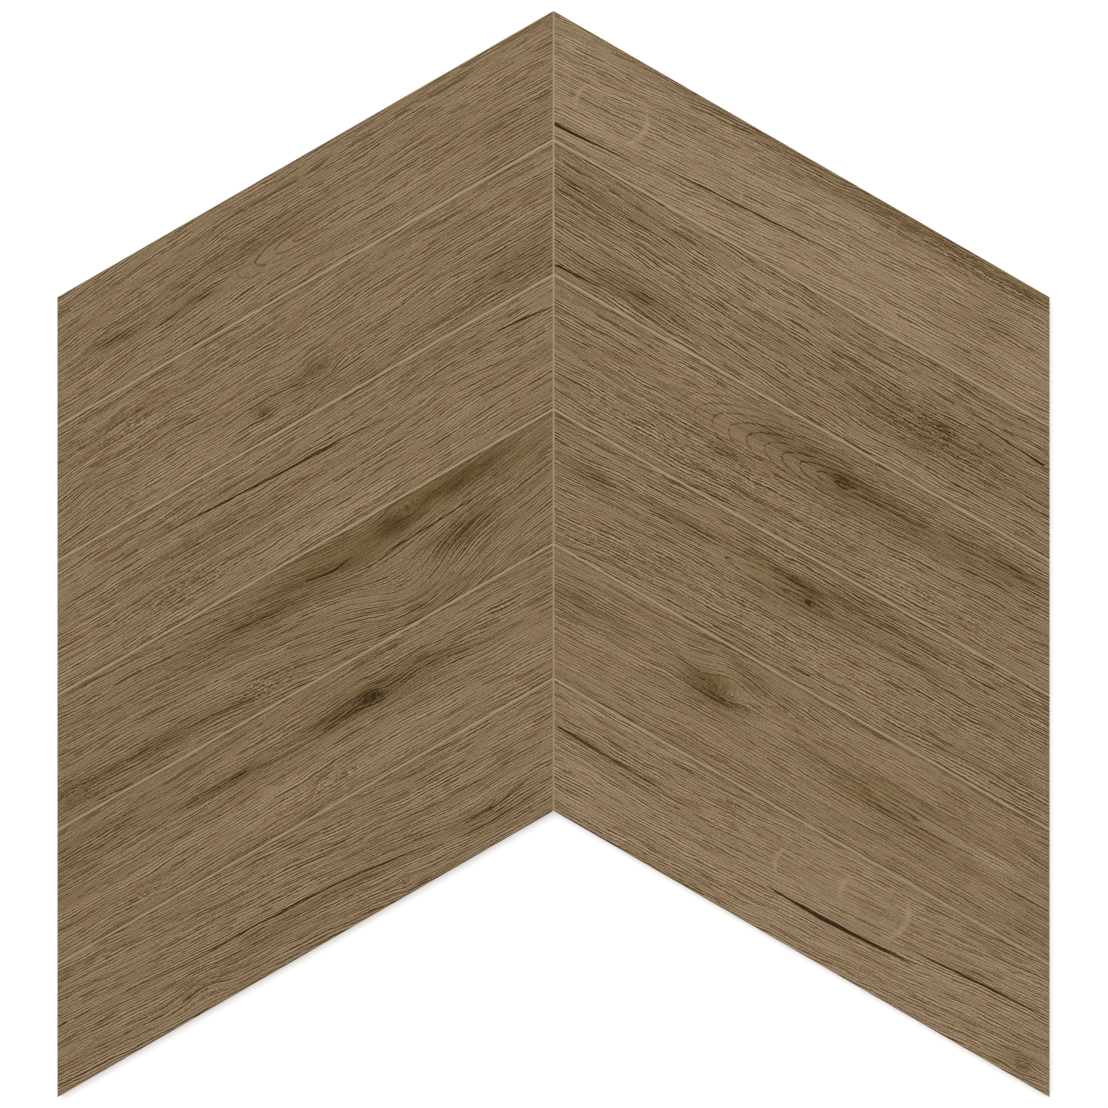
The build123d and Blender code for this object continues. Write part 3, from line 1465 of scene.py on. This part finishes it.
@dataclass(frozen=True)
class WoodLookGlaze:
    """Matt printed glaze of the planks: brown oak with pores, rings, stains, cracks and knots."""

    brown: ShadeStops = (
        (0.0, Shade(183, 161, 134)),
        (0.2, Shade(159, 137, 110)),
        (0.4, Shade(135, 113, 85)),
        (0.6, Shade(111, 87, 53)),
        (0.8, Shade(83, 58, 22)),
        (1.0, Shade(42, 26, 3)),
    )
    olive: ShadeStops = (
        (0.0, Shade(179, 162, 134)),
        (0.2, Shade(155, 138, 110)),
        (0.4, Shade(131, 114, 85)),
        (0.6, Shade(107, 88, 54)),
        (0.8, Shade(79, 60, 22)),
        (1.0, Shade(40, 27, 3)),
    )
    ground: float = 0.42
    pore_depth: float = 0.53
    # how far the painted highlight next to each pore lightens the glaze
    painted_pore_highlight: float = 0.3
    stain_depth: float = 0.32
    ring_depth: float = 0.4
    fleck_depth: float = 0.1
    eye_depth: float = 0.4
    crack_depth: float = 0.75
    ring_spacing: float = 2.6
    ring_line: float = 0.38
    ring_edge: float = 1.6       # where a ring's line ends, in shares of its half width
    ring_full: float = 0.4       # where it is darkest
    fibres: GrainNoise = GrainNoise(1.5, 0.36, 1.0, 0.4)
    sand: GrainNoise = GrainNoise(0.7, 0.5, 0.0, 0.3)
    broad: GrainNoise = GrainNoise(90.0, 7.0, 2.0, 0.2)
    streaky: GrainNoise = GrainNoise(16.0, 2.0, 1.0, 0.7)
    tinges: GrainNoise = GrainNoise(70.0, 11.0, 1.0, 0.2)
    bands: GrainNoise = GrainNoise(55.0, 5.0, 1.0, 0.5)
    slow_wave: GrainNoise = GrainNoise(45.0, 20.0, 1.0, 3.4)
    quick_wave: GrainNoise = GrainNoise(13.0, 5.0, 1.0, 0.7)
    ragged_wave: GrainNoise = GrainNoise(2.6, 1.4, 1.0, 0.5)
    curl: float = 1.3            # added to the ragged wave where the wood is mottled
    arch_wave: float = 0.6       # the share of the quick wave that reaches the arches
    bold_pores: LineLayer = LineLayer(28.0, 1.8, 0.24, 0.33)
    thin_pores: LineLayer = LineLayer(15.0, 1.3, 0.195, 0.42)
    short_pores: LineLayer = LineLayer(3.4, 1.5, 0.23, 0.43)
    faint_bold: float = 0.6      # how plain the bold pores are where they are faintest
    thin_share: float = 0.72
    ray_calm: float = 0.75       # how far a pale ray hides the pores
    arch_calm: float = 0.6       # how far a heart's arches do
    stain_tinge: float = 0.75    # how far a stain turns the brown to olive
    even_stain: float = 0.45     # the share of a stain that lies evenly
    streaky_stain: float = 1.1   # the share that follows the streaks
    faint_range: tuple[float, float] = (0.45, 0.7)
    band_range: tuple[float, float] = (0.35, 0.65)
    open_range: tuple[float, float] = (0.3, 0.6)
    broken_range: tuple[float, float] = (0.25, 0.5)
    crack_soft: float = 0.25
    fleck_soft: float = 1.2
    roughness: float = 0.6
    pore_roughness: float = 0.12
    broad_roughness: float = 0.15
    specular: float = 0.12
    pore_press: float = 0.5
    fibre_press: float = 0.25
    crack_press: float = 1.2
    press_strength: float = 0.5
    press_depth: float = 0.15 * MM

    def make(self, effects: Effects, knots: list[tuple[Vector, Vector, Eye]]) -> bpy.types.Material:
        """Builds the material.

        Args:
            effects: The shared node groups.
            knots: Each knot's place, its grain's direction and the knot.

        Returns:
            The material.
        """
        glaze, desk, shader = new_material("wood_look_glaze")
        # the first value holds the stains and also the darkening along each plank's edges
        stain, patches, bite = desk.field("tint")
        mottle = desk.math("MINIMUM", patches, 1.0)
        along, ring, arch = self._waved_grain(desk, mottle)
        steep, arches, arch_slope = desk.field("figure")

        pores, painted_highlights = self._pores(desk, effects, along, ring, steep, mottle)
        fibres = desk.streaks(along, ring, self.fibres)
        broad = desk.streaks(along, ring, self.broad)
        streaky = desk.streaks(along, ring, self.streaky)
        stained = desk.times(stain, desk.add(self.even_stain, desk.times(streaky, self.streaky_stain)))
        ragged = desk.swing(streaky, self.streaky.swing)
        split = self._drawn(desk, effects, "crack", ragged, self.crack_soft)
        ray = self._drawn(desk, effects, "fleck", ragged, self.fleck_soft)
        eyes = self._eyes(desk, effects, knots)
        rings = self._rings(desk, arch, arch_slope, arches, streaky)

        under_ray = desk.times(desk.math("MAXIMUM", ray, 0.0), self.ray_calm)
        smooth = desk.math("MAXIMUM", under_ray, desk.times(arches, self.arch_calm))
        calm = desk.math("SUBTRACT", 1.0, smooth)
        depth = desk.add(
            self.ground,
            desk.times(pores, bite, self.pore_depth, calm),
            # the painted highlight next to each pore, standing in for light on embossed relief
            desk.times(painted_highlights, bite, -self.painted_pore_highlight, calm),
            desk.swing(fibres, self.fibres.swing),
            desk.sway(along, ring, self.sand),
            desk.swing(broad, self.broad.swing),
            desk.times(stained, self.stain_depth),
            desk.times(rings, self.ring_depth),
            desk.times(ray, -self.fleck_depth),
            desk.times(eyes, self.eye_depth),
            desk.times(split, self.crack_depth),
        )
        faint = desk.ramp(desk.streaks(along, ring, self.tinges), *self.faint_range)
        tinge = desk.times(desk.math("MINIMUM", stain, 1.0), self.stain_tinge)
        greenish = desk.math("MAXIMUM", desk.times(faint, self.tinges.swing), tinge)
        height = desk.add(
            desk.times(pores, -self.pore_press),
            desk.swing(fibres, self.fibre_press),
            desk.times(split, -self.crack_press),
        )
        rough = desk.add(
            self.roughness, desk.times(pores, self.pore_roughness), desk.swing(broad, self.broad_roughness)
        )
        desk.wire(
            shader,
            Base_Color=desk.blend(greenish, desk.colours(depth, self.brown), desk.colours(depth, self.olive)),
            Roughness=rough,
            Specular_IOR_Level=self.specular,
            Normal=desk.bump(height, self.press_strength, self.press_depth),
        )
        return glaze

    def _waved_grain(self, desk: NodeDesk, mottle: Socket) -> tuple[Socket, Socket, Socket]:
        """Gives the grain the waves that each fibre follows.

        Args:
            desk: The material's desk.
            mottle: Where the fibres are curly.

        Returns:
            The places along and across the grain, and in its arches.
        """
        along, ring, arch = desk.field("grain")
        curly = desk.add(self.ragged_wave.swing, desk.times(mottle, mottle, self.curl))
        slow = desk.sway(along, ring, self.slow_wave)
        quick = desk.sway(along, ring, self.quick_wave)
        ragged = desk.swing(desk.streaks(along, ring, self.ragged_wave), curly)
        waved = desk.add(ring, slow, quick, ragged)
        return along, waved, desk.add(arch, desk.times(quick, self.arch_wave), ragged)

    def _pores(
        self, desk: NodeDesk, effects: Effects, along: Socket, ring: Socket, steep: Socket, mottle: Socket
    ) -> tuple[Socket, Socket]:
        """Draws the dark pores: bold lines, thin ones between them, and short ones where the wood is mottled.

        Args:
            desk: The material's desk.
            effects: The shared node groups.
            along: Distances along the grain.
            ring: Distances across the grain.
            steep: How steeply those change, low in the middle of a knot.
            mottle: Where the pores are short and broken.

        Returns:
            The mask of the pores and the mask of the painted highlight next to them.
        """
        bands = desk.ramp(desk.streaks(along, ring, self.bands), *self.band_range)
        strong = desk.add(self.faint_bold, desk.times(bands, self.bands.swing))
        layers = ((self.bold_pores, strong), (self.thin_pores, self.thin_share), (self.short_pores, mottle))
        cores, painted_highlights = 0.0, 0.0
        for layer, share in layers:
            lines = desk.group(
                effects.lines,
                Along=along,
                Ring=ring,
                Steep=steep,
                Length=layer.length,
                Spacing=layer.spacing,
                Half_Width=layer.half_width,
                Cover=layer.cover,
            )
            cores = desk.math("MAXIMUM", cores, desk.times(lines.outputs["Core"], share))
            painted_highlights = desk.math("MAXIMUM", painted_highlights, desk.times(lines.outputs["Painted Highlight"], share))
        open_grain = desk.ramp(steep, *self.open_range)
        # painted highlight: the pale edge of each line, left out where a dark core lies
        highlight_mask = desk.math("MAXIMUM", desk.math("SUBTRACT", painted_highlights, cores), 0.0)
        return desk.times(cores, open_grain), desk.times(highlight_mask, open_grain)

    @staticmethod
    def _drawn(desk: NodeDesk, effects: Effects, name: str, ragged: Socket, soft: float) -> Socket:
        """Draws the marks of one kind.

        Args:
            desk: The material's desk.
            effects: The shared node groups.
            name: The mesh's field that holds the marks.
            ragged: What their edges stray by.
            soft: How soft their edges are, in millimetres.

        Returns:
            The marks' strength.
        """
        offset, width, strength = desk.field(name)
        mark = desk.group(effects.mark, Offset=offset, Half_Width=width, Ragged=ragged, Soft=soft)
        return desk.times(mark.outputs["Mask"], strength)

    def _rings(self, desk: NodeDesk, arch: Socket, slope: Socket, arches: Socket, streaky: Socket) -> Socket:
        """Draws the thin dark arches of a heart figure, of one width however the rings run.

        Args:
            desk: The material's desk.
            arch: Ring coordinates of the arches.
            slope: How steeply those change.
            arches: How plainly the arches show.
            streaky: Noise that breaks the lines.

        Returns:
            The mask of the lines.
        """
        least_slope = 0.05
        phase = desk.math("FRACT", desk.times(arch, 1.0 / self.ring_spacing))
        away = desk.times(desk.math("ABSOLUTE", desk.math("SUBTRACT", phase, 0.5)), self.ring_spacing)
        distance = desk.math("DIVIDE", away, desk.math("MAXIMUM", slope, least_slope))
        line = desk.ramp(distance, self.ring_line * self.ring_edge, self.ring_line * self.ring_full)
        return desk.times(line, arches, desk.ramp(streaky, *self.broken_range))

    @staticmethod
    def _eyes(desk: NodeDesk, effects: Effects, knots: list[tuple[Vector, Vector, Eye]]) -> Socket:
        """Draws the eyes of all the knots.

        Args:
            desk: The material's desk.
            effects: The shared node groups.
            knots: Each knot's place, its grain's direction and the knot.

        Returns:
            The eyes in one mask.
        """
        masks = []
        for place, run, eye in knots:
            made = desk.group(effects.knot, Centre=place, Grain_Run=run, Radius=eye.radius * MM)
            masks.append(desk.times(made.outputs["Mask"], eye.dark))
        return desk.add(*masks)


@dataclass(frozen=True)
class JointGlaze:
    """Pale matt glaze in the false joints, duller towards the notch."""

    light: Shade = Shade(170, 150, 124)
    dull: Shade = Shade(152, 131, 104)
    dullness: float = 0.35
    fall: float = 1.1            # how much less dull for each metre towards the point
    cloud_size: float = 9.0 * MM
    cloud_swing: float = 0.9
    grit_size: float = 0.5 * MM
    grit_swing: float = 0.5
    roughness: float = 0.6
    rough_swing: float = 0.2
    specular: float = 0.12

    def make(self, effects: Effects) -> bpy.types.Material:
        """Builds the material.

        Args:
            effects: The shared node groups.

        Returns:
            The material.
        """
        glaze, desk, shader = new_material("joint_glaze")
        cloud = desk.group(effects.speckle, Size=self.cloud_size).outputs["Mask"]
        grit = desk.group(effects.speckle, Size=self.grit_size).outputs["Mask"]
        _, towards_point, _ = desk.split(desk.node("ShaderNodeTexCoord").outputs["Object"])
        duller = desk.math("SUBTRACT", self.dullness, desk.times(towards_point, self.fall))
        share = desk.add(duller, desk.swing(cloud, self.cloud_swing), desk.swing(grit, self.grit_swing))
        desk.wire(
            shader,
            Base_Color=desk.colours(share, ((0.0, self.light), (1.0, self.dull))),
            Specular_IOR_Level=self.specular,
            Roughness=desk.add(self.roughness, desk.swing(grit, self.rough_swing)),
        )
        return glaze


@dataclass(frozen=True)
class FiredBody:
    """Bare porcelain of the sides and the back: warm grey with fine dark and pale grains."""

    light: Shade = Shade(190, 178, 160)
    middle: Shade = Shade(172, 158, 139)
    dark: Shade = Shade(142, 128, 109)
    grit_size: float = 0.7 * MM
    grit_swing: float = 1.3
    cloud_size: float = 60.0 * MM
    cloud_swing: float = 0.5
    roughness: float = 0.72
    rough_swing: float = 0.25
    press_strength: float = 0.4
    press_depth: float = 0.1 * MM

    def make(self, effects: Effects) -> bpy.types.Material:
        """Builds the material.

        Args:
            effects: The shared node groups.

        Returns:
            The material.
        """
        body, desk, shader = new_material("fired_body")
        grit = desk.group(effects.speckle, Size=self.grit_size).outputs["Mask"]
        cloud = desk.group(effects.speckle, Size=self.cloud_size).outputs["Mask"]
        share = desk.add(0.5, desk.swing(grit, self.grit_swing), desk.swing(cloud, self.cloud_swing))
        stops = ((0.1, self.light), (0.5, self.middle), (0.9, self.dark))
        desk.wire(
            shader,
            Base_Color=desk.colours(share, stops),
            Roughness=desk.add(self.roughness, desk.swing(grit, self.rough_swing)),
            Normal=desk.bump(grit, self.press_strength, self.press_depth),
        )
        return body


@dataclass(frozen=True)
class ChevronTile:
    """The whole tile: its body, its print and its finishes."""

    layout: ChevronLayout
    lip_parts: float = 6.0       # the hollow's width over that of the wood glaze on its rim

    def build(self) -> bpy.types.Object:
        """Builds and dresses the tile.

        Returns:
            The tile's object.
        """
        body = TileBody(self.layout)
        tile = body.build()
        wood = WoodPrint(self.layout, body, PLANKS)
        self._sort_faces(tile.data)
        wood.lay_on(tile)
        effects = Effects.make()
        tile.data.materials.append(WoodLookGlaze().make(effects, wood.knots()))
        tile.data.materials.append(JointGlaze().make(effects))
        tile.data.materials.append(FiredBody().make(effects))
        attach(tile, "root")
        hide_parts(NODE)
        return tile

    def _sort_faces(self, mesh: bpy.types.Mesh) -> None:
        """Gives each face its finish by where it lies.

        Args:
            mesh: The tile's mesh, before its relief.
        """
        plan = self.layout
        middle = read_vectors(mesh.polygons, "center")
        place, _, across = plan.plank_coordinates(middle[:, 0], middle[:, 1])
        lip = plan.joint_width / self.lip_parts
        in_joint = (across > plan.width_of(place) + lip) | (across < -lip)
        in_joint |= np.abs(middle[:, 0]) < plan.centre_joint_width / 2.0
        on_face = middle[:, 2] > plan.thickness - plan.arris
        finish = np.where(in_joint, Finish.JOINT_GLAZE.value, Finish.WOOD_GLAZE.value)
        finish = np.where(on_face, finish, Finish.FIRED_BODY.value)
        mesh.polygons.foreach_set("material_index", finish.astype(np.int32))


# The studio

@dataclass(frozen=True)
class Studio:
    """White floor, soft light and the camera that looks straight down on the tile."""

    layout: ChevronLayout
    floor_size: float = 6.0
    floor_gap: float = 0.1 * MM  # keeps the floor and the tile's back apart
    floor_white: float = 0.92
    floor_roughness: float = 0.9
    floor_glow: float = 0.19
    lens: float = 100.0
    sensor: float = 36.0
    aside: float = 0.3 * MM      # the tile lies half a pixel left of the picture's middle
    sky: float = 0.66
    sun: float = 1.2
    sun_spread: float = math.radians(40.0)
    sun_turn: tuple[float, float, float] = (math.radians(-16.0), math.radians(-12.0), 0.0)

    def build(self) -> None:
        """Sets the floor, the light and the camera."""
        self._floor()
        self._sky()
        self._sun()
        self._camera()

    @staticmethod
    def _seen(desk: NodeDesk) -> Socket:
        """Tells what the camera sees, also in a mirror or through glass.

        Args:
            desk: The desk of the floor's material or the sky.

        Returns:
            1 where it is seen, otherwise 0.
        """
        path = desk.node("ShaderNodeLightPath")
        direct, mirrored, through = (
            path.outputs[f"Is {kind} Ray"] for kind in ("Camera", "Glossy", "Transmission")
        )
        return desk.math("MAXIMUM", direct, desk.math("MAXIMUM", mirrored, through))

    def _floor(self) -> None:
        """Lays the white floor under the tile."""
        shape = bmesh.new()
        bmesh.ops.create_grid(shape, x_segments=1, y_segments=1, size=self.floor_size)
        floor = place_mesh("floor", shape)
        floor.location.z = -self.floor_gap
        white, desk, shader = new_material("studio_white")
        desk.wire(
            shader,
            Base_Color=(self.floor_white, self.floor_white, self.floor_white, 1.0),
            Roughness=self.floor_roughness,
            Specular_IOR_Level=0.0,
            Emission_Color=WHITE,
            Emission_Strength=desk.times(self._seen(desk), self.floor_glow),
        )
        floor.data.materials.append(white)

    def _sky(self) -> None:
        """Sets an even white sky that the camera sees as plain white."""
        world = bpy.data.worlds.new("studio_sky")
        bpy.context.scene.world = world
        world.use_nodes = True
        desk = NodeDesk(world.node_tree)
        strength = desk.add(self.sky, desk.times(self._seen(desk), 1.0 - self.sky))
        desk.wire(world.node_tree.nodes["Background"], Color=WHITE, Strength=strength)

    def _sun(self) -> None:
        """Hangs one broad lamp high on the upper left."""
        lamp = bpy.data.lights.new("key_light", "SUN")
        lamp.energy = self.sun
        lamp.angle = self.sun_spread
        key = bpy.data.objects.new("key_light", lamp)
        key.rotation_euler = Euler(self.sun_turn)
        bpy.context.scene.collection.objects.link(key)

    def _camera(self) -> None:
        """Sets the camera straight above the tile, so that the face fills the frame as photographed."""
        view = bpy.data.cameras.new("camera")
        view.lens = self.lens
        view.sensor_width = self.sensor
        frame_width = 2.0 * self.layout.half_width * PHOTO_PIXELS / TILE_PIXELS
        camera = bpy.data.objects.new("camera", view)
        camera.location = (self.aside, 0.0, self.layout.thickness + frame_width * self.lens / self.sensor)
        bpy.context.scene.collection.objects.link(camera)
        bpy.context.scene.camera = camera


def main() -> None:
    """Builds the tile and its studio."""
    logging.basicConfig(level=logging.INFO, format="%(name)s: %(message)s")
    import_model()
    bpy.context.scene.view_settings.view_transform = "Standard"
    layout = ChevronLayout.from_frame()
    tile = ChevronTile(layout).build()
    LOG.info("%s: %d faces", tile.name, len(tile.data.polygons))
    Studio(layout).build()
    LOG.info("studio: floor, sky, key light and camera")


if __name__ == "__main__":
    main()
